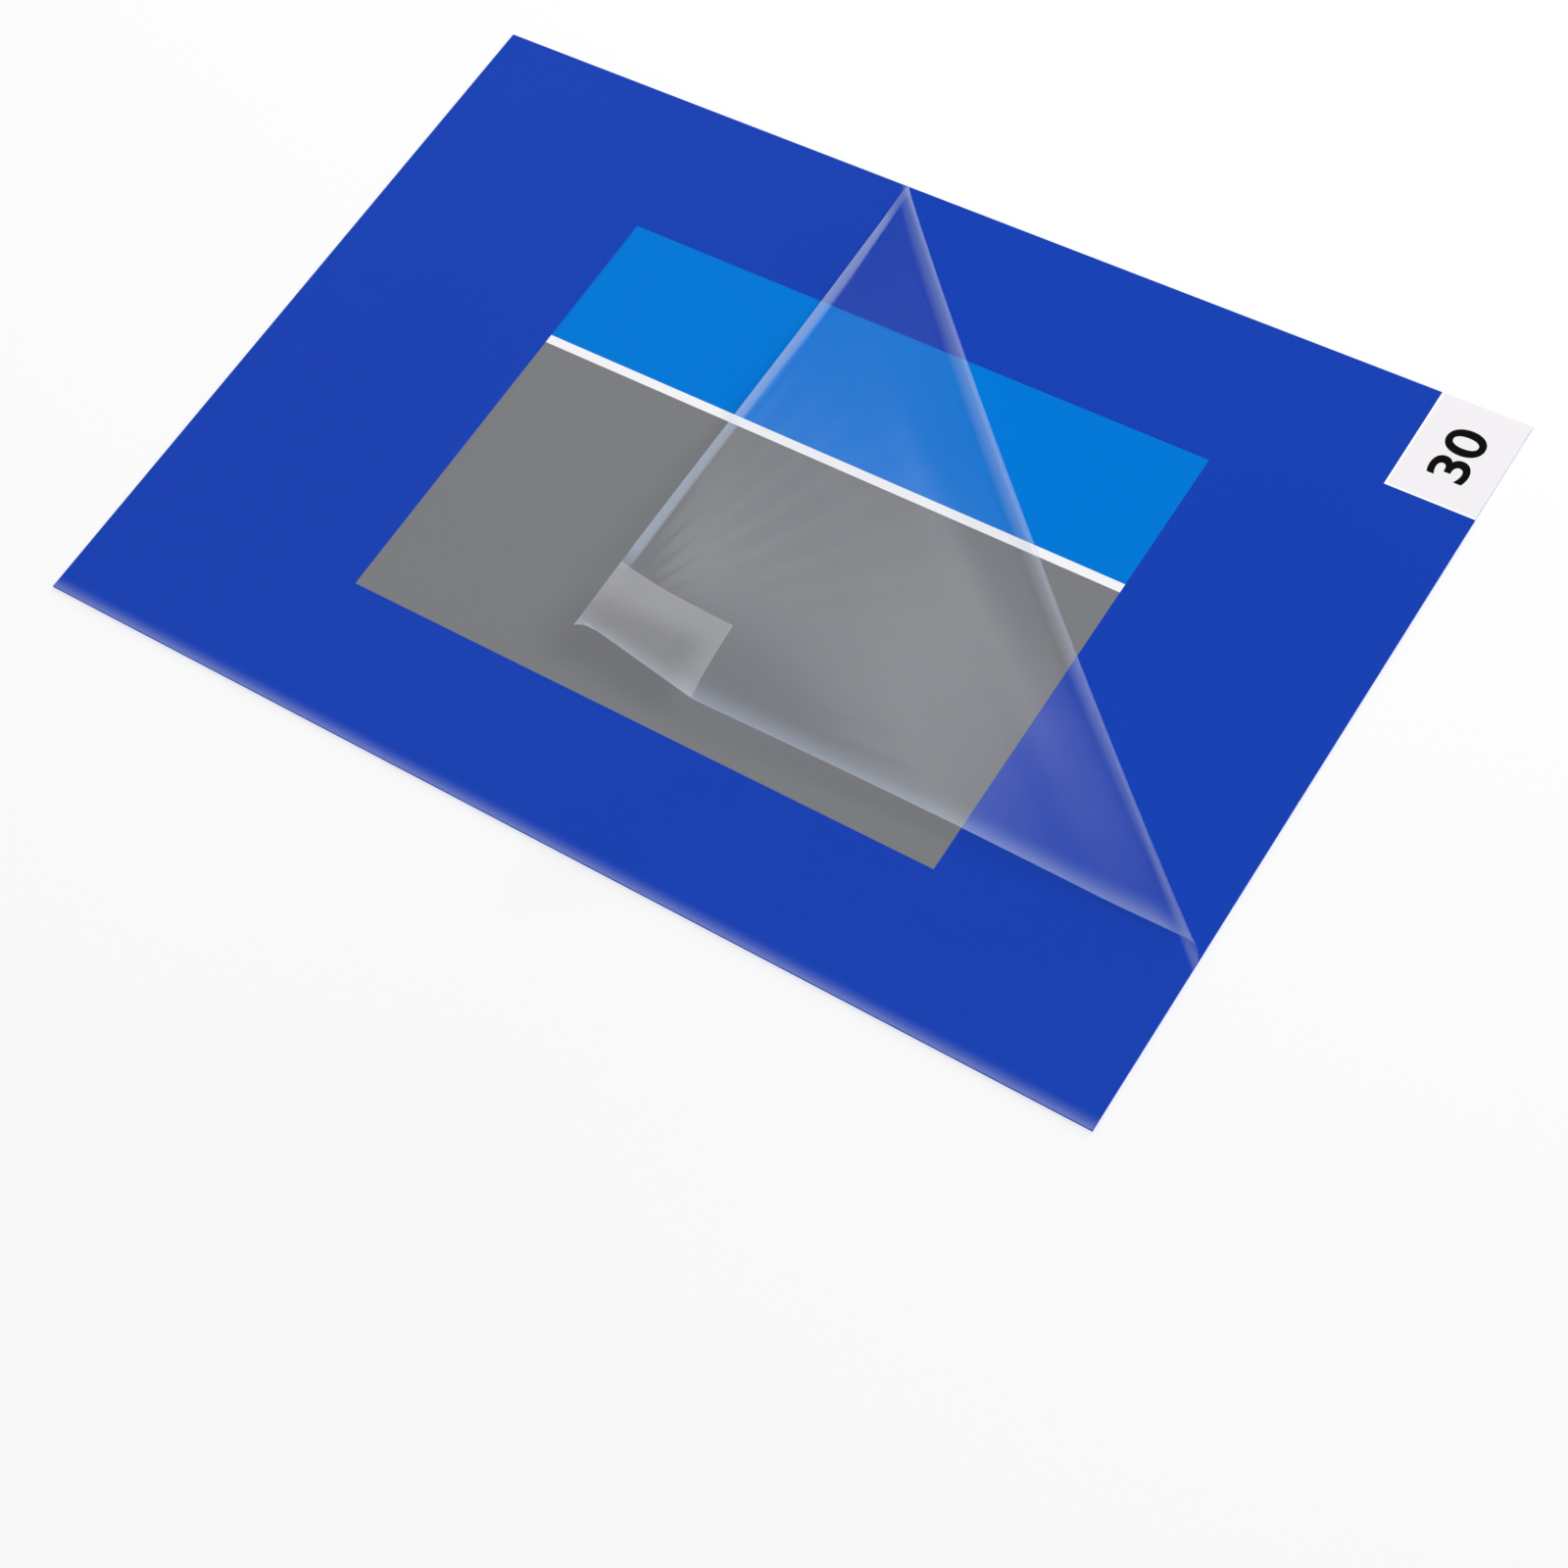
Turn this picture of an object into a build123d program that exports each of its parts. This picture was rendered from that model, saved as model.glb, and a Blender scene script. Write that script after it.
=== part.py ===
from build123d import *
import math
import os

# Cleanroom sticky mat, one mat of stacked peel-off sheets with its clear cover half turned back.
# Millimetres. +X runs along the long side, +Y along the short side, +Z is up.
# The origin is at the middle of the underside, and the numbered corner is at +X +Y.

# Driving sizes of the stack
mat_length = 914.4
mat_width = 609.6
liner_thickness = 0.10
sheet_count = 30
sheet_thickness = 0.05

# Number tab at the corner of every sheet
tab_length = 70.0
tab_width = 88.0
tab_thickness = 0.02

# Printed label under the cover film
label_length = 510.0
label_width = 374.0
label_thickness = 0.08
label_shift_x = 13.0
label_shift_y = -6.5

# Clear cover film, and how far its lifted corner is peeled along the two edges it frees
film_thickness = 0.10
film_wall = 0.6
peel_front = 6.0
peel_along_back = 529.0
peel_along_side = 480.0

# The fold: its radius, and how far round the film has turned where the fold ends
fold_radius_back = 4.0
fold_radius_side = 7.0
fold_turn_back = 177.0
fold_turn_side = 164.0
fold_steps = 6

# The flap's lift above the stack at shares of the way from the peel line to the corner
flap_shares = [0.09, 0.17, 0.25, 0.34, 0.42, 0.50, 0.58, 0.66, 0.74, 0.817]
flap_lift_back = [8.6, 11.5, 18.0, 27.0, 36.5, 47.0, 58.3, 70.0, 82.0, 93.5]
flap_lift_side = [17.4, 25.5, 34.5, 44.0, 52.0, 59.0, 65.5, 71.5, 77.0, 82.0]
tip_lift = 118.0
tip_blunt = 2.0

# Pull tab on the film's corner
pull_tab_length = 70.0
pull_tab_width = 88.0
pull_tab_thickness = 0.10
pull_tab_edge_steps = 4

# Heights and places that follow from the sizes above
sheets_bottom = liner_thickness
stack_top = sheets_bottom + sheet_count * sheet_thickness
label_top = stack_top + label_thickness
right_edge = mat_length / 2
back_edge = mat_width / 2
tab_centre = (right_edge - tab_length / 2, back_edge - tab_width / 2)
label_centre = (label_shift_x, label_shift_y)

os.makedirs("parts", exist_ok=True)


# The peeled corner, worked out on the flat film.
# Distances run inwards from the peel line towards the corner, and along the peel line from its back end.

film_corner = Vector(right_edge, back_edge)
peel_back_end = film_corner - Vector(peel_along_back, 0)
peel_side_end = film_corner - Vector(0, peel_along_side)
freed_corner = [peel_back_end, film_corner, peel_side_end]
peel_length = (peel_side_end - peel_back_end).length
along_peel = (peel_side_end - peel_back_end).normalized()
into_flap = Vector(0, 0, 1).cross(along_peel)
corner_depth = (film_corner - peel_back_end).dot(into_flap)
corner_along = (film_corner - peel_back_end).dot(along_peel)


def along_at_back(depth):
    """How far along the peel line the film's back edge is, at a distance from that line."""
    return corner_along * depth / corner_depth


def along_at_side(depth):
    """The same for the film's side edge."""
    return peel_length - (peel_length - corner_along) * depth / corner_depth


def fold_point(radius, turn):
    """Flat distance, reach and lift of the film where it has turned by an angle round the fold."""
    angle = math.radians(turn)
    return radius * angle, radius * math.sin(angle), radius * (1 - math.cos(angle))


def flap_edge(radius, turn, lifts):
    """Flat distance, reach and lift of one edge of the flap at each section, fold first."""
    points = [fold_point(radius, turn * step / fold_steps) for step in range(fold_steps + 1)]
    blunt_share = 1 - tip_blunt / corner_depth
    for share, lift in zip(flap_shares + [blunt_share], lifts + [tip_lift]):
        depth, reach, height = points[-1]
        run = share * corner_depth - depth
        rise = lift - height
        points.append((depth + run, reach - math.sqrt(run**2 - rise**2), lift))
    return points


back_edge_points = flap_edge(fold_radius_back, fold_turn_back, flap_lift_back)
side_edge_points = flap_edge(fold_radius_side, fold_turn_side, flap_lift_side)


def flap_sections():
    """Back end, side end and upward normal of each section line of the flap."""
    ends = []
    for (depth_b, reach_b, lift_b), (depth_s, reach_s, lift_s) in zip(back_edge_points, side_edge_points):
        back_end = peel_back_end + into_flap * reach_b + along_peel * along_at_back(depth_b)
        side_end = peel_back_end + into_flap * reach_s + along_peel * along_at_side(depth_s)
        ends.append((back_end + Vector(0, 0, label_top + lift_b), side_end + Vector(0, 0, label_top + lift_s)))
    middles = [(a + b) / 2 for a, b in ends]
    sections = []
    for index, (back_end, side_end) in enumerate(ends):
        before = middles[max(index - 1, 0)]
        after = middles[min(index + 1, len(middles) - 1)]
        travel = into_flap if index == 0 else after - before
        sections.append((back_end, side_end, travel.cross(side_end - back_end).normalized() * -1))
    return sections


def reach_at(depth, edge_points):
    """Reach of one edge of the flap at a flat distance from the peel line."""
    for (depth_a, reach_a, _), (depth_b, reach_b, _) in zip(edge_points, edge_points[1:]):
        if depth <= depth_b:
            break
    return reach_a + (reach_b - reach_a) * (depth - depth_a) / (depth_b - depth_a)


def seen_from_above(from_corner_back, from_corner_side):
    """Where a point of the flat film lies in plan once folded, from its distances to the corner."""
    flat = film_corner - Vector(from_corner_back, from_corner_side) - peel_back_end
    depth = flat.dot(into_flap)
    along = flat.dot(along_peel)
    share = (along - along_at_back(depth)) / (along_at_side(depth) - along_at_back(depth))
    reach_back = reach_at(depth, back_edge_points)
    reach = reach_back + (reach_at(depth, side_edge_points) - reach_back) * share
    return peel_back_end + into_flap * reach + along_peel * along


def band_behind_peel_line(width):
    """Corners of the band of film that has come away but not yet turned up."""
    back_corner = peel_back_end - Vector(width / into_flap.X, 0)
    side_corner = peel_side_end - Vector(0, width / into_flap.Y)
    return [back_corner, peel_back_end, peel_side_end, side_corner]


def in_plan(points):
    """Plan coordinates of a list of points."""
    return [(point.X, point.Y) for point in points]


def section_plane(back_end, side_end, normal):
    """Plane of one section of the flap, with X along the section and Y through the film."""
    ruling = side_end - back_end
    return Plane(origin=back_end, x_dir=ruling, z_dir=ruling.cross(normal))


sections = flap_sections()
fold_sections = sections[:fold_steps + 1]
flap_spans = sections[fold_steps:]
tab_inner_share = 1 - (pull_tab_length * into_flap.X + pull_tab_width * into_flap.Y) / corner_depth
spans_before_tab = sum(share < tab_inner_share for share in flap_shares)
tab_spans = flap_spans[spans_before_tab:]


# Release liner under the floor adhesive

with BuildPart() as release_liner:
    with BuildSketch(Plane.XY):
        Rectangle(mat_length, mat_width)
    extrude(amount=liner_thickness)
release_liner.part.label = "release_liner"
export_step(release_liner.part, "parts/release_liner.step")


# Adhesive sheets, each with its adhesive left off under the number tab

def make_sheet(level):
    """One adhesive sheet, counted from 0 at the bottom of the stack."""
    bottom = sheets_bottom + level * sheet_thickness
    with BuildPart() as sheet:
        with BuildSketch(Plane.XY.offset(bottom)):
            Rectangle(mat_length, mat_width)
        extrude(amount=sheet_thickness)
        with BuildSketch(Plane.XY.offset(bottom + sheet_thickness)):
            with Locations(tab_centre):
                Rectangle(tab_length, tab_width)
        extrude(amount=-tab_thickness, mode=Mode.SUBTRACT)
    return sheet.part


for level in range(sheet_count):
    sheet = make_sheet(level)
    sheet.label = f"adhesive_sheet_{level + 1:02d}"
    export_step(sheet, f"parts/{sheet.label}.step")


# Number tabs, let in flush with each sheet's adhesive: the top one, and those still covered

with BuildPart() as number_tab_top:
    with BuildSketch(Plane.XY.offset(stack_top)):
        with Locations(tab_centre):
            Rectangle(tab_length, tab_width)
    extrude(amount=-tab_thickness)
number_tab_top.part.label = "number_tab_top"
export_step(number_tab_top.part, "parts/number_tab_top.step")

with BuildPart() as number_tabs_below:
    for level in range(1, sheet_count):
        with BuildSketch(Plane.XY.offset(sheets_bottom + level * sheet_thickness)):
            with Locations(tab_centre):
                Rectangle(tab_length, tab_width)
        extrude(amount=-tab_thickness)
number_tabs_below.part.label = "number_tabs_below"
export_step(number_tabs_below.part, "parts/number_tabs_below.step")


# Printed label, held on the top sheet's adhesive

with BuildPart() as label_sheet:
    with BuildSketch(Plane.XY.offset(stack_top)):
        with Locations(label_centre):
            Rectangle(label_length, label_width)
    extrude(amount=label_thickness)
label_sheet.part.label = "label_sheet"
export_step(label_sheet.part, "parts/label_sheet.step")


# Clear cover film: it lies on the top sheet, steps up over the label and along the line where it
# comes away, and folds back from there

with BuildPart() as cover_film:
    with BuildSketch(Plane.XY.offset(stack_top)):
        Rectangle(mat_length, mat_width)
        with BuildLine():
            Polyline(*in_plan(freed_corner), close=True)
        make_face(mode=Mode.SUBTRACT)
    extrude(amount=film_thickness)
    with BuildSketch(Plane.XY.offset(stack_top)):
        with Locations(label_centre):
            Rectangle(label_length + 2 * film_wall, label_width + 2 * film_wall)
        with BuildLine():
            Polyline(*in_plan(band_behind_peel_line(peel_front + film_wall)), close=True)
        make_face()
        with BuildLine():
            Polyline(*in_plan(freed_corner), close=True)
        make_face(mode=Mode.SUBTRACT)
    extrude(amount=label_thickness + film_thickness)
    with BuildSketch(Plane.XY.offset(stack_top)):
        with Locations(label_centre):
            Rectangle(label_length, label_width)
        with BuildLine():
            Polyline(*in_plan(band_behind_peel_line(peel_front)), close=True)
        make_face()
    extrude(amount=label_thickness, mode=Mode.SUBTRACT)
    for section in fold_sections:
        with BuildSketch(section_plane(*section)):
            Rectangle((section[1] - section[0]).length, film_thickness, align=(Align.MIN, Align.MIN))
    loft()
    for section in flap_spans:
        with BuildSketch(section_plane(*section)):
            Rectangle((section[1] - section[0]).length, film_thickness, align=(Align.MIN, Align.MIN))
    loft(ruled=True)
cover_film.part.label = "cover_film"
export_step(cover_film.part, "parts/cover_film.step")


# Pull tab on the corner of the film, on the side that faced the adhesive

with BuildPart() as pull_tab:
    for section in tab_spans:
        with BuildSketch(section_plane(*section)):
            Rectangle((section[1] - section[0]).length, pull_tab_thickness, align=(Align.MIN, Align.MAX))
    loft(ruled=True)
    edge_shares = [step / pull_tab_edge_steps for step in range(pull_tab_edge_steps + 1)]
    inner_edge = [seen_from_above(pull_tab_length, pull_tab_width * share) for share in edge_shares]
    tab_at_back, tab_inner = inner_edge[0], inner_edge[-1]
    tab_at_side = seen_from_above(0, pull_tab_width)
    past_tip = into_flap * -corner_depth
    tab_outline = [
        tab_at_back + (tab_at_back - tab_inner),
        *inner_edge,
        tab_at_side + (tab_at_side - tab_inner),
        tab_at_side + past_tip,
        tab_at_back + past_tip,
    ]
    with BuildSketch(Plane.XY):
        with BuildLine():
            Polyline(*in_plan(tab_outline), close=True)
        make_face()
    extrude(amount=stack_top + 2 * tip_lift, mode=Mode.INTERSECT)
pull_tab.part.label = "pull_tab"
export_step(pull_tab.part, "parts/pull_tab.step")
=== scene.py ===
"""A cleanroom sticky mat: blue sheets, a printed label and a clear cover film folded back."""

import math

import bpy
import numpy as np
from bpy.props import FloatProperty, FloatVectorProperty, IntProperty, PointerProperty
from bpy.types import Operator, Panel, PropertyGroup
from mathutils import Matrix, Vector


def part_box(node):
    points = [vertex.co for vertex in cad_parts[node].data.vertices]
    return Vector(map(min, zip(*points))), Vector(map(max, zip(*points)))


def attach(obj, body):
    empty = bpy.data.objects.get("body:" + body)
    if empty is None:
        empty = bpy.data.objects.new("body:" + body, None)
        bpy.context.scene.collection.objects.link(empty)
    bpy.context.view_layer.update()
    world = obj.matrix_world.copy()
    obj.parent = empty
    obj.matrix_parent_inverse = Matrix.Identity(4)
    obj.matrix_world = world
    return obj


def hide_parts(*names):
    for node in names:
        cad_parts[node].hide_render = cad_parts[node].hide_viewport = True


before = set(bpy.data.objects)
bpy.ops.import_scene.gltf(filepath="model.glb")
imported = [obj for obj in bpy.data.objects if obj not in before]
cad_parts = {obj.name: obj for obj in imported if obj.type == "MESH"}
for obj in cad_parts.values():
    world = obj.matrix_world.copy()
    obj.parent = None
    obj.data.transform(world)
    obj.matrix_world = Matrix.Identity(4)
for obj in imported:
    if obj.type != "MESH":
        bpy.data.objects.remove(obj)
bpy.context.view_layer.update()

bl_info = {
    "name": "Cleanroom Sticky Mat",
    "version": (1, 0, 0),
    "blender": (4, 5, 0),
    "location": "View3D > Sidebar > Sticky Mat",
    "description": "Finishes the sheets, label, number tab and folded cover film of a sticky mat",
    "category": "Object",
}

SHEET_LOW, SHEET_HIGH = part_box("adhesive_sheet_30")
LABEL_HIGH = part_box("label_sheet")[1]
TAB_LOW, TAB_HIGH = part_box("number_tab_top")

# Small distances in metres, and angles
FILM_GAP = 0.00003
PULL_TAB_GAP = 0.0003
PULL_TAB_THICKNESS = 0.00005
INK_THICKNESS = 0.00001
TAB_HIGHLIGHT_WIDTH = 0.0016
# Widths of the painted highlights along the flap's side edge and the film's front edge
SIDE_HIGHLIGHT_WIDTH = 0.022
FRONT_HIGHLIGHT_WIDTH = 0.012
SMOOTH_ANGLE = math.radians(40)

# The two softboxes: place and size in metres
SHEEN_PLACE = (-0.45, 4.62, 3.80)
SHEEN_SIZE = (0.8, 0.9)
RIM_PLACE = (0.3, 2.7, 0.75)
RIM_SIZE = (2.6, 0.35)

# Optics of the pieces
DULL_FILM_IOR = 1.1
MIRROR_STRAIGHT_ON = 0.012
FLAT_GLOSS = 0.1
LIFTED_GLOSS = 0.35
FILM_ROUGHNESS = 0.22
PULL_TAB_GLOSS = 0.3
PULL_TAB_ROUGHNESS = 0.6
PULL_TAB_TINT = (0.98, 0.98, 0.985, 1.0)
PULL_TAB_MILK = (0.93, 0.935, 0.95)

# Share of a letter's size that its numerals stand high
NUMERAL_SHARE = 0.72


# Settings that a user would change


class StageSettings(PropertyGroup):
    """Camera, floor and lamps"""

    camera_place: FloatVectorProperty(
        name="Camera place", description="Where the camera stands", subtype="TRANSLATION",
        unit="LENGTH", default=(0.957, -0.856, 1.730))
    camera_aim: FloatVectorProperty(
        name="Camera aim", description="Point on the mat that the camera looks at",
        subtype="TRANSLATION", unit="LENGTH", default=(0.1406, -0.1860, 0.0016))
    camera_roll: FloatProperty(
        name="Camera roll", description="Turn of the picture about the line of sight",
        subtype="ANGLE", default=math.radians(19.87))
    camera_lens: FloatProperty(
        name="Lens", description="Focal length in millimetres", default=67.34)
    floor_size: FloatProperty(
        name="Floor size", description="Side of the square floor", unit="LENGTH", default=60.0)
    floor_colour: FloatVectorProperty(
        name="Floor colour", description="Colour of the plain floor", subtype="COLOR",
        size=3, default=(0.985, 0.985, 0.985))
    sky_strength: FloatProperty(
        name="Sky strength", description="Evenness of the studio light", default=0.31)
    key_towards: FloatVectorProperty(
        name="Key towards", description="Direction in which the key light stands",
        subtype="DIRECTION", default=(0.70, -0.16, 1.0))
    key_strength: FloatProperty(
        name="Key strength", description="Strength of the key light", default=2.22)
    key_softness: FloatProperty(
        name="Key softness", description="Angle that the key light fills", subtype="ANGLE",
        default=math.radians(12))
    sheen_power: FloatProperty(
        name="Sheen power", description="Power of the lamp mirrored in the flap", unit="POWER",
        default=40.0)
    rim_power: FloatProperty(
        name="Rim power", description="Power of the long low lamp behind", unit="POWER",
        default=14.0)


class SheetSettings(PropertyGroup):
    """Colours of the sheets and the liner"""

    blue: FloatVectorProperty(
        name="Blue", description="Colour of the adhesive sheets", subtype="COLOR",
        size=3, default=(0.0085, 0.053, 0.45))
    liner: FloatVectorProperty(
        name="Liner", description="Colour of the release paper", subtype="COLOR",
        size=3, default=(0.80, 0.77, 0.70))


class LabelSettings(PropertyGroup):
    """Colours and bands of the label"""

    band: FloatVectorProperty(
        name="Band", description="Colour of the label's upper band", subtype="COLOR",
        size=3, default=(0.0, 0.188, 0.68))
    body: FloatVectorProperty(
        name="Body", description="Colour of the label's lower part", subtype="COLOR",
        size=3, default=(0.205, 0.209, 0.223))
    stripe: FloatVectorProperty(
        name="Stripe", description="Colour of the stripe between them", subtype="COLOR",
        size=3, default=(0.90, 0.90, 0.92))
    band_depth: FloatProperty(
        name="Band depth", description="Depth of the upper band", unit="LENGTH", default=0.1185)
    stripe_depth: FloatProperty(
        name="Stripe depth", description="Depth of the stripe", unit="LENGTH", default=0.0075)


class TabSettings(PropertyGroup):
    """Colours and numerals of the number tab"""

    white: FloatVectorProperty(
        name="White", description="Colour of the number tab", subtype="COLOR",
        size=3, default=(0.88, 0.85, 0.885))
    ink: FloatVectorProperty(
        name="Ink", description="Colour of the numerals", subtype="COLOR",
        size=3, default=(0.0015, 0.0015, 0.0015))
    numeral_height: FloatProperty(
        name="Numeral height", description="Height of the numerals", unit="LENGTH", default=0.030)
    numeral_length: FloatProperty(
        name="Numeral length", description="Length of both numerals", unit="LENGTH", default=0.045)
    numeral_weight: FloatProperty(
        name="Numeral weight", description="How far the strokes are thickened", unit="LENGTH",
        default=0.0008)


class FilmSettings(PropertyGroup):
    """Shape and look of the cover film and its pull tab"""

    thickness: FloatProperty(
        name="Thickness", description="Thickness of the cover film", unit="LENGTH", default=0.0001)
    peel_back: FloatProperty(
        name="Peeled along the back",
        description="From the lifted corner to the fold along the back edge",
        unit="LENGTH", default=0.529)
    peel_side: FloatProperty(
        name="Peeled along the side",
        description="From the lifted corner to the fold along the side edge",
        unit="LENGTH", default=0.480)
    fold_radius_back: FloatProperty(
        name="Fold radius, back", description="Radius of the fold at the back edge", unit="LENGTH",
        default=0.004)
    fold_radius_side: FloatProperty(
        name="Fold radius, side", description="Radius of the fold at the side edge", unit="LENGTH",
        default=0.007)
    fold_turn_back: FloatProperty(
        name="Fold turn, back", description="How far the film turns at the back edge",
        subtype="ANGLE", default=math.radians(177))
    fold_turn_side: FloatProperty(
        name="Fold turn, side", description="How far the film turns at the side edge",
        subtype="ANGLE", default=math.radians(164))
    fold_bow: FloatProperty(
        name="Fold bow", description="How far the fold bows towards the flap at its middle",
        unit="LENGTH", default=0.0075)
    tip_lift: FloatProperty(
        name="Tip lift", description="Height of the lifted corner above the mat", unit="LENGTH",
        default=0.118)
    haze: FloatProperty(
        name="Haze", description="Share of light that the lifted film scatters", subtype="FACTOR",
        default=0.006)
    # Painted highlight: extra haze along the fold
    fold_highlight_haze: FloatProperty(
        name="Fold haze", description="Share of light scattered where the film is bent",
        subtype="FACTOR", default=0.105)
    # Painted highlight: extra haze along the flap's side edge and the flat film's front edge
    hem_highlight_haze: FloatProperty(
        name="Hem haze", description="Share of light scattered along the other free edges",
        subtype="FACTOR", default=0.125)
    tab_haze: FloatProperty(
        name="Pull tab haze", description="Share of light that the pull tab scatters",
        subtype="FACTOR", default=0.095)
    tint: FloatVectorProperty(
        name="Tint", description="Colour of light let through each face of the lifted film",
        subtype="COLOR", size=3, default=(0.978, 0.98, 0.986))
    milk: FloatVectorProperty(
        name="Milk", description="Colour of light that the film scatters",
        subtype="COLOR", size=3, default=(0.69, 0.82, 1.0))
    # Painted highlight: extra haze along the curled back edge
    curl_highlight_haze: FloatProperty(
        name="Edge haze", description="Share of light scattered along the curled edge",
        subtype="FACTOR", default=0.16)
    curl_width: FloatProperty(
        name="Curl width", description="Width of the strip that curls along the back edge",
        unit="LENGTH", default=0.0065)
    curl_height: FloatProperty(
        name="Curl height", description="How far that strip curls", unit="LENGTH", default=0.003)
    pull_tab_length: FloatProperty(
        name="Pull tab length", description="Along the back edge", unit="LENGTH", default=0.070)
    pull_tab_width: FloatProperty(
        name="Pull tab width", description="Along the side edge", unit="LENGTH", default=0.088)
    rows_across: IntProperty(
        name="Rows across", description="Divisions of the film along the fold", default=120)


# Small helpers shared by the operators


def settings():
    """All settings of the mat."""
    return bpy.context.scene.sticky_mat


def select_only(obj):
    """Makes one object the only selected and the active one."""
    bpy.ops.object.select_all(action="DESELECT")
    obj.select_set(True)
    bpy.context.view_layer.objects.active = obj


def thicken(obj, thickness, offset):
    """Gives a flat mesh its thickness and smooth faces."""
    select_only(obj)
    solid = obj.modifiers.new("thickness", "SOLIDIFY")
    solid.thickness = thickness
    solid.offset = offset
    bpy.ops.object.modifier_apply(modifier=solid.name)
    bpy.ops.object.shade_smooth_by_angle(angle=SMOOTH_ANGLE)


def new_material(name):
    """An empty node material, and the Tree that adds its nodes."""
    material = bpy.data.materials.new(name)
    material.use_nodes = True
    material.node_tree.nodes.clear()
    return material, Tree(material.node_tree)


class Tree:
    """Short ways to add and link the nodes of one material."""

    def __init__(self, tree):
        self.tree = tree
        self.output = tree.nodes.new("ShaderNodeOutputMaterial")
        coordinates = tree.nodes.new("ShaderNodeTexCoord")
        self.place = coordinates.outputs["Object"]
        self.flat = coordinates.outputs["UV"]

    def link(self, source, target):
        """Joins an output to an input."""
        self.tree.links.new(source, target)

    def show(self, shader):
        """Makes a shader what the material shows."""
        self.link(shader.outputs[0], self.output.inputs["Surface"])

    def node(self, kind, **inputs):
        """Adds a node; each named input takes a value or a link."""
        made = self.tree.nodes.new(kind)
        for name, value in inputs.items():
            self.fill(made.inputs[name.replace("_", " ")], value)
        return made

    def fill(self, socket, value):
        """Links an output to an input, or sets its value."""
        if isinstance(value, bpy.types.NodeSocket):
            self.link(value, socket)
        else:
            socket.default_value = value

    def maths(self, operation, *values):
        """One Math node."""
        made = self.tree.nodes.new("ShaderNodeMath")
        made.operation = operation
        for socket, value in zip(made.inputs, values):
            self.fill(socket, value)
        return made.outputs[0]

    def noise(self, scale, detail, stretch=(1, 1, 1)):
        """Noise of a number of features per metre, drawn out where stretch is small."""
        mapping = self.node("ShaderNodeMapping", Vector=self.place, Scale=stretch)
        made = self.node(
            "ShaderNodeTexNoise", Vector=mapping.outputs["Vector"], Scale=scale, Detail=detail)
        return made.outputs["Fac"]

    def spread(self, value, low, high, to_low=0.0, to_high=1.0):
        """Carries a range of values to another one, and stops at its ends."""
        made = self.node(
            "ShaderNodeMapRange",
            Value=value, From_Min=low, From_Max=high, To_Min=to_low, To_Max=to_high)
        return made.outputs["Result"]

    def blend(self, factor, first, second):
        """Mixes two colours, each three numbers or a link."""
        made = self.tree.nodes.new("ShaderNodeMix")
        made.data_type = "RGBA"
        colours = [
            (*colour, 1.0) if isinstance(colour, tuple) else colour for colour in (first, second)]
        sockets = [socket for socket in made.inputs if socket.type == "RGBA"]
        self.fill(made.inputs["Factor"], factor)
        for socket, colour in zip(sockets, colours):
            self.fill(socket, colour)
        return next(socket for socket in made.outputs if socket.type == "RGBA")

    def bump(self, height, distance, strength):
        """Normal that follows a height."""
        made = self.node("ShaderNodeBump", Height=height, Distance=distance, Strength=strength)
        return made.outputs["Normal"]

    def axes(self):
        """X, Y and Z of a point, in metres."""
        split = self.node("ShaderNodeSeparateXYZ", Vector=self.place)
        return split.outputs["X"], split.outputs["Y"], split.outputs["Z"]


def scaled(colour, factor):
    """A darker or lighter tone of a colour."""
    return tuple(factor * part for part in colour)


def give(material, *nodes):
    """Puts one material on CAD nodes, over the one they were packed with."""
    for name in nodes:
        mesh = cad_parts[name].data
        mesh.materials.clear()
        mesh.materials.append(material)


# The folded film, as a map from the flat film to where each point lies now


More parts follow.
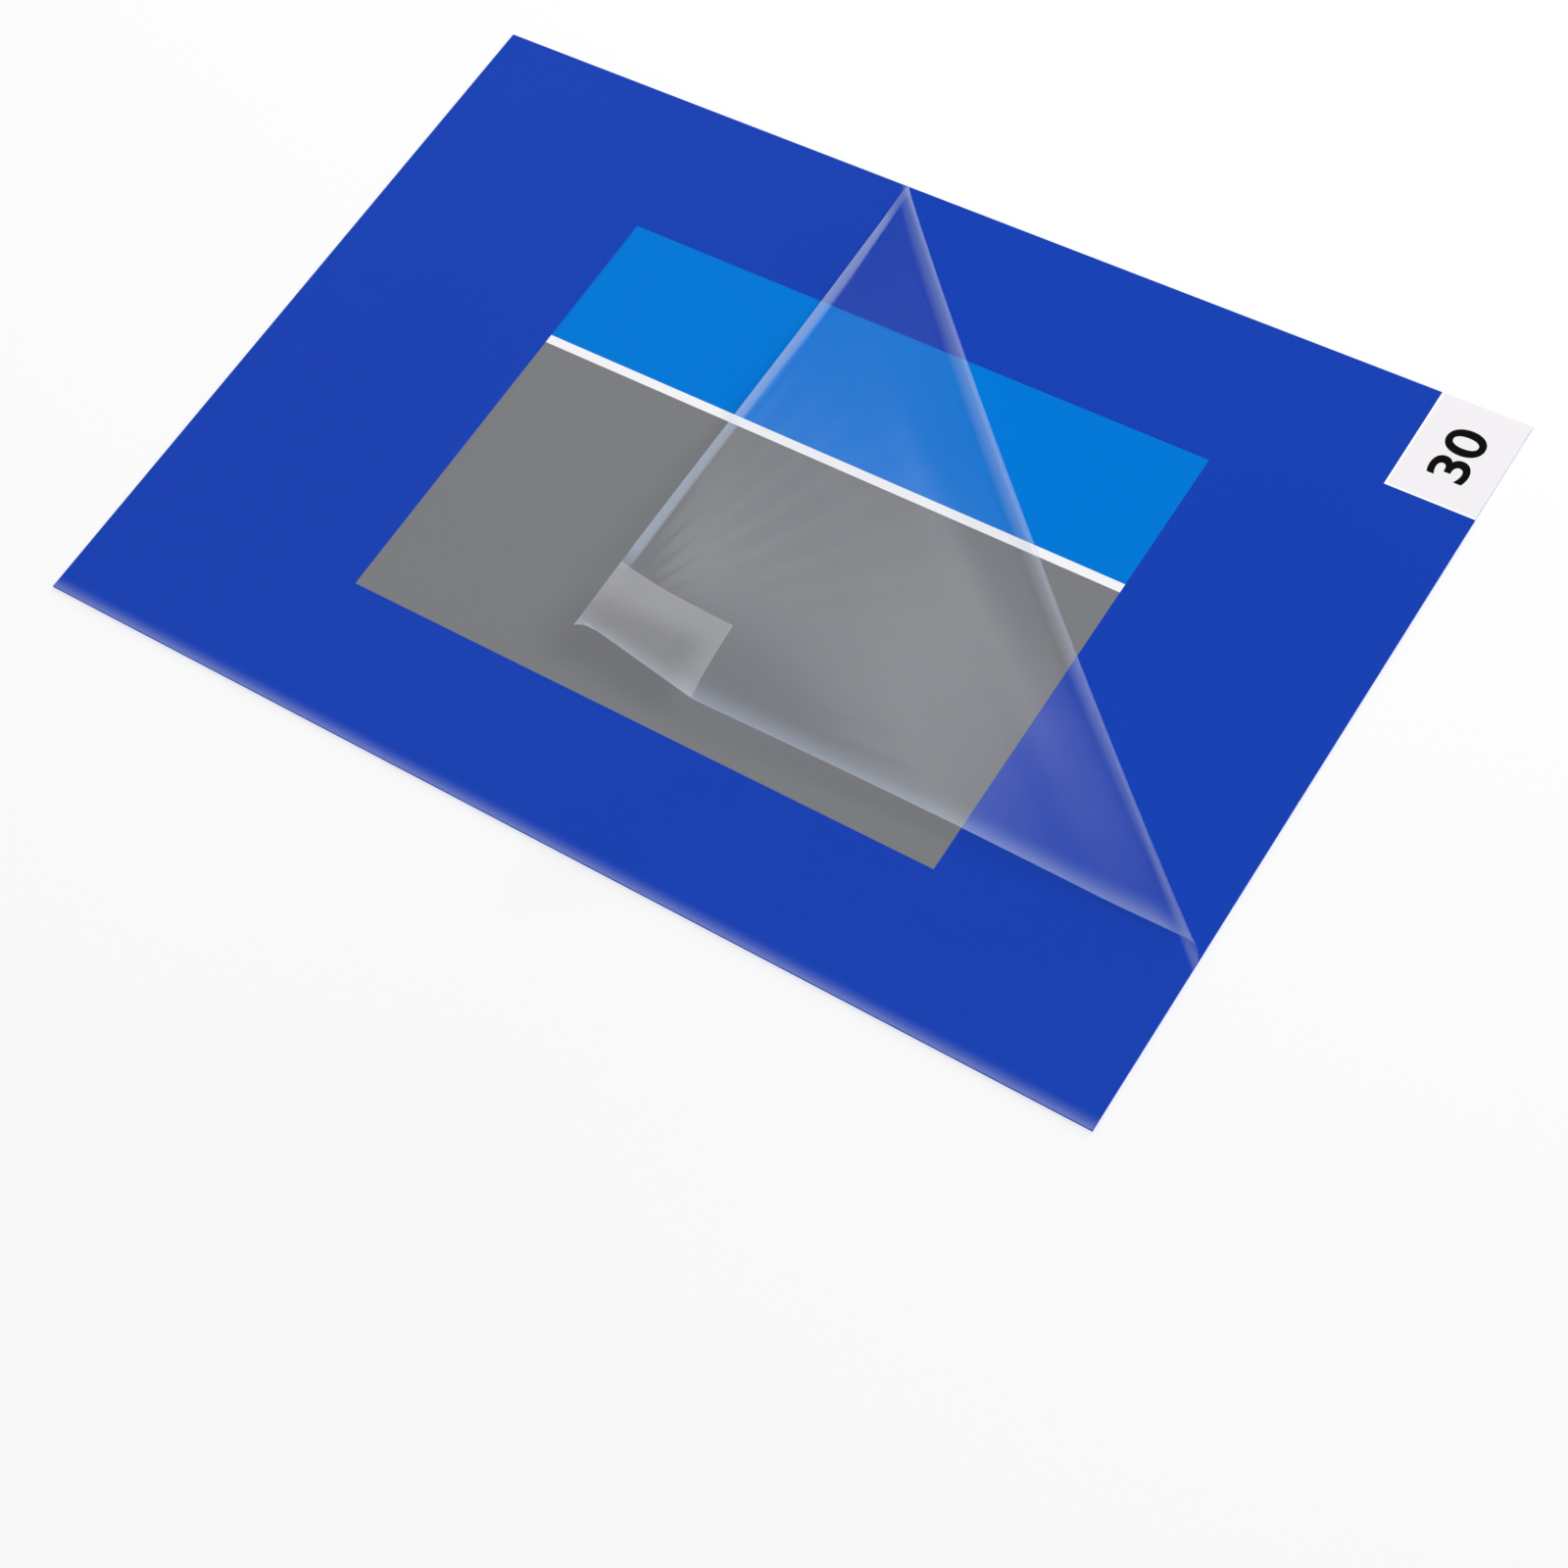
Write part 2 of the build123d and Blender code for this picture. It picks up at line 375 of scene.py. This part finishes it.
class FoldedFilm:
    """Carries points of the flat cover film round its fold, and keeps its edges' lengths."""

    # Lift of the flap's two edges at shares of the way from the peel line to the corner, in metres
    shares = (0.09, 0.17, 0.25, 0.34, 0.42, 0.50, 0.58, 0.66, 0.74, 0.817)
    lift_back = (0.0086, 0.0115, 0.018, 0.027, 0.0365, 0.047, 0.0583, 0.070, 0.082, 0.0935)
    lift_side = (0.0174, 0.0255, 0.0345, 0.044, 0.052, 0.059, 0.0655, 0.0715, 0.077, 0.082)

    # Lines across the flap on which it is worked out, and steps along each
    columns = 41
    steps = 1200

    # How the free edges stand: where the curl begins on the flap, and the lift along the front edge
    curl_begins = 0.015
    curl_full = 0.065
    front_lift = 0.0012
    front_lift_width = 0.010
    steepest = 0.98

    def __init__(self, film, level):
        self.film = film
        self.level = level
        self.corner = np.array([SHEET_HIGH.x, SHEET_HIGH.y])
        self.back_end = self.corner - [film.peel_back, 0]
        self.side_end = self.corner - [0, film.peel_side]
        self.length = np.linalg.norm(self.side_end - self.back_end)
        self.along = (self.side_end - self.back_end) / self.length
        self.inward = np.array([-self.along[1], self.along[0]])
        self.depth = (self.corner - self.back_end) @ self.inward
        self.corner_along = (self.corner - self.back_end) @ self.along
        self.depths = np.linspace(0, self.depth, self.steps)
        self.profiles = [self.profile(share) for share in np.linspace(0, 1, self.columns)]

    def profile(self, share):
        """Reach and lift of the film at every depth, at a share of the way from back to side."""
        film = self.film
        radius = film.fold_radius_back + (film.fold_radius_side - film.fold_radius_back) * share
        turn = film.fold_turn_back + (film.fold_turn_side - film.fold_turn_back) * share
        lifts = [b + (s - b) * share for b, s in zip(self.lift_back, self.lift_side)]
        bend = radius * turn
        knots = np.array([bend, *[s * self.depth for s in self.shares]])
        heights = np.array([radius * (1 - math.cos(turn)), *lifts])
        slopes = np.gradient(heights, knots)
        slopes[0] = math.sin(turn)
        crease = knots[-1]
        past_crease = (self.depths - crease) / (self.depth - crease)
        to_tip = heights[-1] + (film.tip_lift - heights[-1]) * past_crease
        lift = np.where(self.depths < crease, hermite(self.depths, knots, heights, slopes), to_tip)
        rise = np.clip(np.gradient(lift, self.depths), -self.steepest, self.steepest)
        run = np.sqrt(1 - rise**2) * (self.depths[1] - self.depths[0])
        past = np.cumsum(np.where(self.depths > bend, run, 0))
        bent = np.minimum(self.depths, bend) / radius
        reach = radius * np.sin(bent) - past
        lift = np.where(self.depths < bend, radius * (1 - np.cos(bent)), lift)
        return reach, lift

    def place(self, flat):
        """Where points of the flat film lie, as an array of x, y and z."""
        from_peel = flat - self.back_end
        depth = from_peel @ self.inward
        along = from_peel @ self.along
        first = self.corner_along * depth / self.depth
        last = self.length - (self.length - self.corner_along) * depth / self.depth
        share = np.clip((along - first) / np.maximum(last - first, 1e-5), 0, 1)
        bow = self.film.fold_bow * np.sin(math.pi * np.clip(along / self.length, 0, 1)) ** 0.6
        bow = bow * np.clip(1 - depth / self.depth, 0, 1)
        deep = np.clip(depth + bow, 0, self.depth)
        column = share * (self.columns - 1)
        low = np.minimum(column.astype(int), self.columns - 2)
        mix = column - low
        reach = np.empty_like(deep)
        lift = np.empty_like(deep)
        for index in range(self.columns - 1):
            here = low == index
            for table, values in ((0, reach), (1, lift)):
                near = np.interp(deep[here], self.depths, self.profiles[index][table])
                far = np.interp(deep[here], self.depths, self.profiles[index + 1][table])
                values[here] = near + (far - near) * mix[here]
        turned = depth > -bow
        reach = np.where(turned, reach - bow, depth)
        lift = np.where(turned, lift, 0) + self.edge_curl(flat, depth)
        spot = self.back_end + np.outer(reach, self.inward) + np.outer(along, self.along)
        return np.column_stack([spot, self.level + lift])

    def edge_curl(self, flat, depth):
        """Extra lift where the flap's back edge curls and the front edge stands up a little."""
        on_flap = smooth((depth - self.curl_begins) / (self.curl_full - self.curl_begins))
        from_back = self.corner[1] - flat[:, 1]
        curled = np.clip(1 - from_back / self.film.curl_width, 0, 1)
        curl = self.film.curl_height * curled**2 * on_flap
        from_front = flat[:, 1] + self.corner[1]
        stand = self.front_lift * smooth(1 - from_front / self.front_lift_width) * (depth < 0)
        return curl + stand


def smooth(value):
    """Eased step from 0 to 1."""
    value = np.clip(value, 0, 1)
    return value * value * (3 - 2 * value)


def hermite(at, knots, values, slopes):
    """Smooth curve through knots with given slopes."""
    index = np.clip(np.searchsorted(knots, at) - 1, 0, len(knots) - 2)
    width = knots[index + 1] - knots[index]
    t = np.clip((at - knots[index]) / width, 0, 1)
    return (
        (1 + 2 * t) * (1 - t) ** 2 * values[index]
        + t * (1 - t) ** 2 * width * slopes[index]
        + t * t * (3 - 2 * t) * values[index + 1]
        + t * t * (t - 1) * width * slopes[index + 1]
    )


# Operators


class STICKYMAT_OT_stage(Operator):
    """Adds the floor, the soft studio lamps and the camera"""

    bl_idname = "stickymat.stage"
    bl_label = "Stage"

    def execute(self, context):
        stage = settings().stage
        self.floor(stage)
        self.sky(stage)
        self.key(stage)
        self.lamp("sheen_softbox", SHEEN_PLACE, SHEEN_SIZE, stage.sheen_power)
        self.lamp("rim_softbox", RIM_PLACE, RIM_SIZE, stage.rim_power)
        self.camera(stage)
        context.scene.view_settings.view_transform = "Standard"
        return {"FINISHED"}

    def floor(self, stage):
        """A plain pale floor with a faint unevenness of tone."""
        bpy.ops.object.select_all(action="DESELECT")
        bpy.ops.mesh.primitive_grid_add(x_subdivisions=4, y_subdivisions=4, size=stage.floor_size)
        floor = bpy.context.object
        floor.name = "floor"
        material, tree = new_material("floor_paint")
        tone = tree.noise(0.8, 2.0)
        pale = tuple(stage.floor_colour)
        shader = tree.node(
            "ShaderNodeBsdfPrincipled",
            Base_Color=tree.blend(tone, pale, scaled(pale, 0.985)),
            Roughness=0.9,
            Specular_IOR_Level=0.1)
        tree.show(shader)
        floor.data.materials.append(material)

    def sky(self, stage):
        """A white surround as seen and mirrored, and a weaker even light from it."""
        world = bpy.data.worlds.new("studio")
        bpy.context.scene.world = world
        world.use_nodes = True
        nodes, links = world.node_tree.nodes, world.node_tree.links
        nodes["Background"].inputs["Color"].default_value = (1.0, 1.0, 1.0, 1.0)
        rays = nodes.new("ShaderNodeLightPath")
        seen = rays.outputs["Is Camera Ray"]
        for kind in ("Is Glossy Ray", "Is Transmission Ray"):
            either = nodes.new("ShaderNodeMath")
            either.operation = "MAXIMUM"
            links.new(seen, either.inputs[0])
            links.new(rays.outputs[kind], either.inputs[1])
            seen = either.outputs[0]
        strength = nodes.new("ShaderNodeMapRange")
        strength.inputs["To Min"].default_value = stage.sky_strength
        links.new(seen, strength.inputs["Value"])
        links.new(strength.outputs["Result"], nodes["Background"].inputs["Strength"])

    def key(self, stage):
        """The key light, a broad sun."""
        data = bpy.data.lights.new("key", "SUN")
        data.energy = stage.key_strength
        data.angle = stage.key_softness
        key = bpy.data.objects.new("key", data)
        bpy.context.scene.collection.objects.link(key)
        key.rotation_euler = (-Vector(stage.key_towards)).to_track_quat("-Z", "Y").to_euler()

    def lamp(self, name, place, size, power):
        """A softbox that faces the mat's middle."""
        data = bpy.data.lights.new(name, "AREA")
        data.shape = "RECTANGLE"
        data.size, data.size_y = size
        data.energy = power
        lamp = bpy.data.objects.new(name, data)
        bpy.context.scene.collection.objects.link(lamp)
        lamp.location = place
        lamp.rotation_euler = (-Vector(place)).to_track_quat("-Z", "Y").to_euler()

    def camera(self, stage):
        """The camera, turned about its line of sight."""
        data = bpy.data.cameras.new("camera")
        data.lens = stage.camera_lens
        camera = bpy.data.objects.new("camera", data)
        bpy.context.scene.collection.objects.link(camera)
        camera.location = stage.camera_place
        sight = Vector(stage.camera_aim) - Vector(stage.camera_place)
        level = sight.to_track_quat("-Z", "Y").to_matrix()
        camera.rotation_euler = (level @ Matrix.Rotation(-stage.camera_roll, 3, "Z")).to_euler()
        bpy.context.scene.camera = camera


class STICKYMAT_OT_sheets(Operator):
    """Finishes the blue adhesive sheets and the release liner under them"""

    bl_idname = "stickymat.sheets"
    bl_label = "Adhesive sheets"

    def execute(self, context):
        colours = settings().sheets
        sheets = [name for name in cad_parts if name.startswith("adhesive_sheet")]
        give(self.blue_film(tuple(colours.blue)), *sheets)
        give(self.release_paper(tuple(colours.liner)), "release_liner")
        return {"FINISHED"}

    def blue_film(self, blue):
        """Blue polyethylene with a slight ripple under its tacky coat."""
        material, tree = new_material("blue_film")
        cloud = tree.noise(2.2, 2.0)
        grain = tree.noise(900.0, 0.0)
        ripple = tree.noise(14.0, 1.0, stretch=(1.0, 0.3, 1.0))
        shader = tree.node(
            "ShaderNodeBsdfPrincipled",
            Base_Color=tree.blend(cloud, scaled(blue, 0.93), scaled(blue, 1.05)),
            Roughness=tree.spread(grain, 0.3, 0.7, 0.26, 0.34),
            IOR=DULL_FILM_IOR,
            Normal=tree.bump(ripple, 0.0004, 0.5))
        tree.show(shader)
        return material

    def release_paper(self, colour):
        """Siliconised paper with faint fibres."""
        material, tree = new_material("release_paper")
        fibres = tree.noise(260.0, 4.0, stretch=(1.0, 0.35, 1.0))
        shader = tree.node(
            "ShaderNodeBsdfPrincipled",
            Base_Color=tree.blend(fibres, scaled(colour, 0.94), colour),
            Roughness=0.55,
            Normal=tree.bump(fibres, 0.00005, 0.4))
        tree.show(shader)
        return material


class STICKYMAT_OT_label(Operator):
    """Finishes the printed label: a blue band, a white stripe and a grey body"""

    bl_idname = "stickymat.label"
    bl_label = "Label"

    def execute(self, context):
        label = settings().label
        material, tree = new_material("label_print")
        _, y, _ = tree.axes()
        band_edge = LABEL_HIGH.y - label.band_depth
        in_band = tree.maths("GREATER_THAN", y, band_edge)
        in_body = tree.maths("LESS_THAN", y, band_edge - label.stripe_depth)
        speckle = tree.noise(1400.0, 0.0)
        tone = tree.noise(3.0, 2.0)
        body = tree.blend(tone, scaled(label.body, 0.97), tuple(label.body))
        band = tree.blend(tone, scaled(label.band, 0.97), tuple(label.band))
        colour = tree.blend(in_body, tuple(label.stripe), body)
        colour = tree.blend(in_band, colour, band)
        shader = tree.node(
            "ShaderNodeBsdfPrincipled",
            Base_Color=colour,
            Roughness=tree.spread(speckle, 0.3, 0.7, 0.34, 0.42),
            IOR=DULL_FILM_IOR,
            Normal=tree.bump(speckle, 0.00002, 0.3))
        tree.show(shader)
        give(material, "label_sheet")
        return {"FINISHED"}


class STICKYMAT_OT_number_tab(Operator):
    """Finishes the white corner tabs and prints the number on the top one"""

    bl_idname = "stickymat.number_tab"
    bl_label = "Number tab"

    def execute(self, context):
        tab = settings().tab
        give(self.tab_film(tuple(tab.white)), "number_tab_top", "number_tabs_below")
        self.numerals(tab)
        return {"FINISHED"}

    def tab_film(self, white):
        """White film with a painted highlight, a brighter line, along its two inner edges."""
        material, tree = new_material("tab_film")
        x, y, _ = tree.axes()
        at_left = tree.maths("LESS_THAN", x, TAB_LOW.x + TAB_HIGHLIGHT_WIDTH)
        at_front = tree.maths("LESS_THAN", y, TAB_LOW.y + TAB_HIGHLIGHT_WIDTH)
        # Painted highlight along the tab's two inner edges
        edge = tree.maths("MAXIMUM", at_left, at_front)
        fibres = tree.noise(500.0, 3.0)
        colour = tree.blend(fibres, scaled(white, 0.98), white)
        shader = tree.node(
            "ShaderNodeBsdfPrincipled",
            Base_Color=tree.blend(edge, colour, (0.97, 0.97, 0.97)),
            Roughness=0.5,
            Normal=tree.bump(fibres, 0.00003, 0.3))
        tree.show(shader)
        return material

    def numerals(self, tab):
        """The number as a thin mesh of ink, read from the mat's side edge."""
        bpy.ops.object.select_all(action="DESELECT")
        bpy.ops.object.text_add(location=(0, 0, 0))
        text = bpy.context.object
        text.name = "printed_number"
        text.data.body = "30"
        text.data.align_x = "CENTER"
        text.data.align_y = "CENTER"
        text.data.size = tab.numeral_height / NUMERAL_SHARE
        text.data.offset = tab.numeral_weight
        text.data.extrude = INK_THICKNESS
        select_only(text)
        bpy.ops.object.convert(target="MESH")
        number = bpy.context.object
        centre = (TAB_LOW + TAB_HIGH) / 2
        low = Vector(number.bound_box[0])
        high = Vector(number.bound_box[6])
        middle = (low + high) / 2
        number.data.transform(Matrix.Translation(-Vector((middle.x, middle.y, 0))))
        stretch = tab.numeral_length / (high.x - low.x), tab.numeral_height / (high.y - low.y)
        number.data.transform(Matrix.Diagonal((*stretch, 1, 1)))
        number.data.transform(Matrix.Rotation(math.radians(90), 4, "Z"))
        number.data.transform(Matrix.Translation((centre.x, centre.y, TAB_HIGH.z + INK_THICKNESS)))
        material, tree = new_material("number_ink")
        grain = tree.noise(1200.0, 2.0)
        shader = tree.node(
            "ShaderNodeBsdfPrincipled",
            Base_Color=tree.blend(grain, tuple(tab.ink), scaled(tab.ink, 1.6)),
            Roughness=0.6,
            IOR=DULL_FILM_IOR)
        tree.show(shader)
        number.data.materials.append(material)
        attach(number, "root")


def film_surface(tree, haze, gloss, tint, milk, roughness):
    """Film that lets light through, mirrors at a slant and scatters a share of the light."""
    ripple = tree.noise(9.0, 0.0)
    normal = tree.bump(ripple, 0.002, 0.2)
    facing = tree.node("ShaderNodeLayerWeight", Blend=0.5, Normal=normal).outputs["Facing"]
    slant = tree.spread(tree.maths("POWER", facing, 5.0), 0.0, 1.0, MIRROR_STRAIGHT_ON, 1.0)
    mirror = tree.node("ShaderNodeBsdfGlossy", Roughness=roughness, Normal=normal)
    mirror.inputs["Color"].default_value = (1.0, 1.0, 1.0, 1.0)
    clear = tree.node("ShaderNodeBsdfTransparent", Color=tint)
    milky = tree.node("ShaderNodeBsdfDiffuse", Normal=normal)
    milky.inputs["Color"].default_value = (*milk, 1.0)
    body = tree.node("ShaderNodeMixShader")
    tree.fill(body.inputs[0], haze)
    tree.link(clear.outputs[0], body.inputs[1])
    tree.link(milky.outputs[0], body.inputs[2])
    whole = tree.node("ShaderNodeMixShader")
    tree.fill(whole.inputs[0], tree.maths("MULTIPLY", slant, gloss))
    tree.link(body.outputs[0], whole.inputs[1])
    tree.link(mirror.outputs[0], whole.inputs[2])
    tree.show(whole)


def cover_film_material(film, folded):
    """Clear film, with extra haze as painted highlights where it is bent, along its curled back
    edge, its side edge and its standing front edge, and less haze just inside the back edge as
    painted shade.
    """
    material, tree = new_material("clear_film")
    split = tree.node("ShaderNodeSeparateXYZ", Vector=tree.flat)
    u, v = split.outputs["X"], split.outputs["Y"]
    start = -float(folded.back_end @ folded.inward)
    across = tree.maths("MULTIPLY_ADD", u, folded.inward[0], start)
    depth = tree.maths("MULTIPLY_ADD", v, folded.inward[1], across)
    from_back = tree.maths("SUBTRACT", folded.corner[1], v)
    from_side = tree.maths("SUBTRACT", folded.corner[0], u)
    from_front = tree.maths("ADD", v, folded.corner[1])

    # The flap, faintly smeared, and clearer by its back edge, which leaves a painted shade just
    # inside the curled strip
    lifted = tree.spread(depth, 0.004, 0.030)
    smear = tree.noise(5.0, 1.0, stretch=(1.0, 0.35, 1.0))
    haze_mask_with_painted_shade = tree.maths("MULTIPLY", tree.spread(from_back, 0.008, 0.055, 0.2, 1.0), lifted)
    amount = tree.spread(smear, 0.35, 0.65, 0.5 * film.haze, 1.5 * film.haze)
    haze = tree.maths("MULTIPLY", haze_mask_with_painted_shade, amount)

    # The bend of the fold, whitened with extra haze as a painted highlight
    fold_starts = tree.spread(depth, -0.002, 0.003)
    fold_ends = tree.spread(depth, 0.018, 0.006)
    bent = tree.maths("MULTIPLY", fold_starts, fold_ends)
    haze = tree.maths("MULTIPLY_ADD", bent, film.fold_highlight_haze, haze)

    # The curled strip along the back edge, whitened with extra haze as a painted highlight that is
    # brightest at its outer line, faint under the pull tab and full a little past it
    strip = tree.spread(from_back, film.curl_width, 0.75 * film.curl_width)
    outer = tree.spread(from_back, film.curl_width, 0.0, 0.6, 1.0)
    strip = tree.maths("MULTIPLY", tree.maths("MULTIPLY", strip, outer), lifted)
    off_tab = tree.spread(
        from_side, 0.88 * film.pull_tab_length, 1.257 * film.pull_tab_length, 0.15, 1.0)
    strip = tree.maths("MULTIPLY", strip, off_tab)
    haze = tree.maths("MULTIPLY_ADD", strip, film.curl_highlight_haze, haze)

    # The flap's side edge, and the flat film's front edge, which stands up a little: both whitened
    # with extra haze as painted highlights
    near_side = tree.spread(from_side, SIDE_HIGHLIGHT_WIDTH, 0.0)
    side_highlight = tree.maths("MULTIPLY", tree.maths("MULTIPLY", near_side, near_side), lifted)
    haze = tree.maths("MULTIPLY_ADD", side_highlight, film.hem_highlight_haze, haze)
    near_front = tree.spread(from_front, FRONT_HIGHLIGHT_WIDTH, 0.0)
    flat_part = tree.spread(depth, 0.0, -0.01)
    stand = tree.maths("MULTIPLY", tree.maths("MULTIPLY", near_front, near_front), flat_part)
    haze = tree.maths("MULTIPLY_ADD", stand, film.hem_highlight_haze, haze)

    gloss = tree.spread(depth, 0.0, 0.004, FLAT_GLOSS, LIFTED_GLOSS)
    tint = tree.blend(lifted, (1.0, 1.0, 1.0), tuple(film.tint))
    film_surface(tree, haze, gloss, tint, tuple(film.milk), FILM_ROUGHNESS)
    return material


def pull_tab_material(film):
    """Frosted film, evenly hazy."""
    material, tree = new_material("frosted_film")
    grain = tree.noise(420.0, 3.0)
    haze = tree.spread(grain, 0.3, 0.7, 0.9 * film.tab_haze, 1.1 * film.tab_haze)
    film_surface(tree, haze, PULL_TAB_GLOSS, PULL_TAB_TINT, PULL_TAB_MILK, PULL_TAB_ROUGHNESS)
    return material


class STICKYMAT_OT_cover_film(Operator):
    """Lays the clear cover film and folds back its lifted corner"""

    bl_idname = "stickymat.cover_film"
    bl_label = "Cover film"

    # Rows of the film: shares of the way out to the mat's edge where it lies flat, closer together
    # by the edge, and distances in metres past the peel line, closest together in the fold
    down_rows = (
        1.0, 0.996, 0.991, 0.986, 0.980, 0.972, 0.96, 0.92, 0.8, 0.6, 0.4, 0.25, 0.12, 0.05)
    first_depth = -0.02
    before_fold = (first_depth, -0.015, -0.011)
    fold_from, fold_to, fold_step = -0.0085, 0.0236, 0.0006
    flap_from, flap_rows, tip_margin = 0.0256, 84, 0.0005

    def execute(self, context):
        film = settings().film
        folded = FoldedFilm(film, LABEL_HIGH.z + FILM_GAP)
        across = film.rows_across
        inward = self.stations(folded)
        bpy.ops.object.select_all(action="DESELECT")
        bpy.ops.mesh.primitive_grid_add(
            x_subdivisions=len(inward) - 1, y_subdivisions=across, size=1)
        sheet = bpy.context.object
        sheet.name = "folded_cover_film"
        flat = self.flat_places(sheet.data, folded, inward, across)
        places = folded.place(flat)
        self.map_flat(sheet.data, flat)
        sheet.data.vertices.foreach_set("co", places.ravel())
        sheet.data.update()
        self.face_outwards(sheet)
        thicken(sheet, film.thickness, 1.0)
        sheet.data.materials.append(cover_film_material(film, folded))
        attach(sheet, "root")
        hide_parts("cover_film")
        return {"FINISHED"}

    def stations(self, folded):
        """The rows in order, each a kind and a value."""
        fold = np.arange(self.fold_from, self.fold_to, self.fold_step)
        flap = np.linspace(self.flap_from, folded.depth - self.tip_margin, self.flap_rows)
        down = [("down", share) for share in self.down_rows]
        return down + [("past", depth) for depth in (*self.before_fold, *fold, *flap)]

    def flat_places(self, mesh, folded, inward, across):
        """Places of the grid's points on the flat film."""
        count = len(mesh.vertices)
        local = np.empty(count * 3)
        mesh.vertices.foreach_get("co", local)
        local = local.reshape(-1, 3)
        rows = np.rint((local[:, 0] + 0.5) * (len(inward) - 1)).astype(int)
        share = local[:, 1] + 0.5
        flat = np.empty((count, 2))
        for index, (kind, value) in enumerate(inward):
            here = rows == index
            flat[here] = self.row(folded, kind, value, share[here])
        return flat

    def map_flat(self, mesh, flat):
        """Keeps each point's place on the flat film, in metres, as the film's UV map."""
        corners = np.empty(len(mesh.loops), dtype=int)
        mesh.loops.foreach_get("vertex_index", corners)
        mesh.uv_layers.active.data.foreach_set("uv", flat[corners].ravel())

    def row(self, folded, kind, value, share):
        """Places on the flat film along one row, at shares of its length."""
        if kind == "past":
            start = folded.corner_along * value / folded.depth
            end = folded.length - (folded.length - folded.corner_along) * value / folded.depth
            along = np.outer(start + (end - start) * share, folded.along)
            return folded.back_end + value * folded.inward + along
        half_length, half_width = folded.corner
        ring = 2 * half_width + 2 * half_length
        walked = share * ring
        down_left = np.column_stack([np.full_like(share, -half_length), half_width - walked])
        past_left = walked - 2 * half_width - half_length
        on_front = np.column_stack([past_left, np.full_like(share, -half_width)])
        outer = np.where((walked < 2 * half_width)[:, None], down_left, on_front)
        inner = self.row(folded, "past", self.first_depth, share)
        return inner + (outer - inner) * value

    def face_outwards(self, sheet):
        """Turns all faces of the open sheet the same way."""
        select_only(sheet)
        bpy.ops.object.mode_set(mode="EDIT")
        bpy.ops.mesh.select_all(action="SELECT")
        bpy.ops.mesh.normals_make_consistent(inside=False)
        bpy.ops.object.mode_set(mode="OBJECT")


class STICKYMAT_OT_pull_tab(Operator):
    """Puts the frosted pull tab on the lifted corner of the cover film"""

    bl_idname = "stickymat.pull_tab"
    bl_label = "Pull tab"

    rows_along, rows_down = 36, 44

    def execute(self, context):
        film = settings().film
        folded = FoldedFilm(film, LABEL_HIGH.z + FILM_GAP + PULL_TAB_GAP)
        bpy.ops.object.select_all(action="DESELECT")
        bpy.ops.mesh.primitive_grid_add(
            x_subdivisions=self.rows_along, y_subdivisions=self.rows_down, size=1)
        tab = bpy.context.object
        tab.name = "frosted_pull_tab"
        local = np.empty(len(tab.data.vertices) * 3)
        tab.data.vertices.foreach_get("co", local)
        local = local.reshape(-1, 3)
        flat = folded.corner - np.column_stack([
            (0.5 - local[:, 0]) * film.pull_tab_length, (0.5 - local[:, 1]) * film.pull_tab_width])
        tab.data.vertices.foreach_set("co", folded.place(flat).ravel())
        tab.data.update()
        thicken(tab, PULL_TAB_THICKNESS, 0.0)
        tab.data.materials.append(pull_tab_material(film))
        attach(tab, "root")
        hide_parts("pull_tab")
        return {"FINISHED"}


class STICKYMAT_PT_panel(Panel):
    """Lists the steps that finish the mat"""

    bl_label = "Sticky Mat"
    bl_idname = "STICKYMAT_PT_panel"
    bl_space_type = "VIEW_3D"
    bl_region_type = "UI"
    bl_category = "Sticky Mat"

    def draw(self, context):
        """One button for each step."""
        for step in STEPS:
            self.layout.operator(step.bl_idname)


class StickyMatSettings(PropertyGroup):
    """All settings of the mat, one group for each step."""

    stage: PointerProperty(type=StageSettings)
    sheets: PointerProperty(type=SheetSettings)
    label: PointerProperty(type=LabelSettings)
    tab: PointerProperty(type=TabSettings)
    film: PointerProperty(type=FilmSettings)


STEPS = (
    STICKYMAT_OT_stage,
    STICKYMAT_OT_sheets,
    STICKYMAT_OT_label,
    STICKYMAT_OT_number_tab,
    STICKYMAT_OT_cover_film,
    STICKYMAT_OT_pull_tab,
)
CLASSES = (
    StageSettings, SheetSettings, LabelSettings, TabSettings, FilmSettings, StickyMatSettings,
    *STEPS, STICKYMAT_PT_panel,
)


def register():
    """Adds the settings, operators and panel."""
    for cls in CLASSES:
        bpy.utils.register_class(cls)
    bpy.types.Scene.sticky_mat = PointerProperty(type=StickyMatSettings)


def unregister():
    """Takes them out again."""
    del bpy.types.Scene.sticky_mat
    for cls in reversed(CLASSES):
        bpy.utils.unregister_class(cls)


def main():
    """Builds the mat step by step."""
    register()
    bpy.ops.stickymat.stage()
    bpy.ops.stickymat.sheets()
    bpy.ops.stickymat.label()
    bpy.ops.stickymat.number_tab()
    bpy.ops.stickymat.cover_film()
    bpy.ops.stickymat.pull_tab()


if __name__ == "__main__":
    main()
